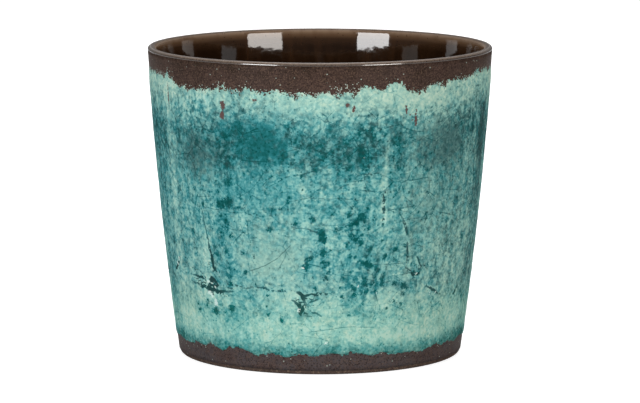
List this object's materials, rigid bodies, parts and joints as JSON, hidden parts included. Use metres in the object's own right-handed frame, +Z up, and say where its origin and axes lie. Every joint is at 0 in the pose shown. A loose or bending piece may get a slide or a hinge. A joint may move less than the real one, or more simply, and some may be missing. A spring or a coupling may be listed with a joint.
{
  "type": "flower pot",
  "caption": "Round tapered stoneware cover pot with a rounded lip, foot ring, glossy brown liner, brown rim and foot bands and a ragged-edged turquoise glaze sleeve; holds a potted plant.",
  "frame": {"origin": "centre of the foot ring, on the surface that the pot stands on", "axes": "+Z up along the pot's axis towards the mouth; -Y is the side that the picture shows"},
  "size_m": [0.1898, 0.1898, 0.17],
  "materials": {
    "clay": "matte",
    "brown_coat": "satin",
    "brown_liner": "gloss",
    "turquoise": "satin"
  },
  "bodies": {
    "root": {"stoneware_body": "clay", "brown_coat": "brown_coat", "liner_glaze": "brown_liner", "turquoise_glaze": "turquoise"}
  },
  "joints": []
}
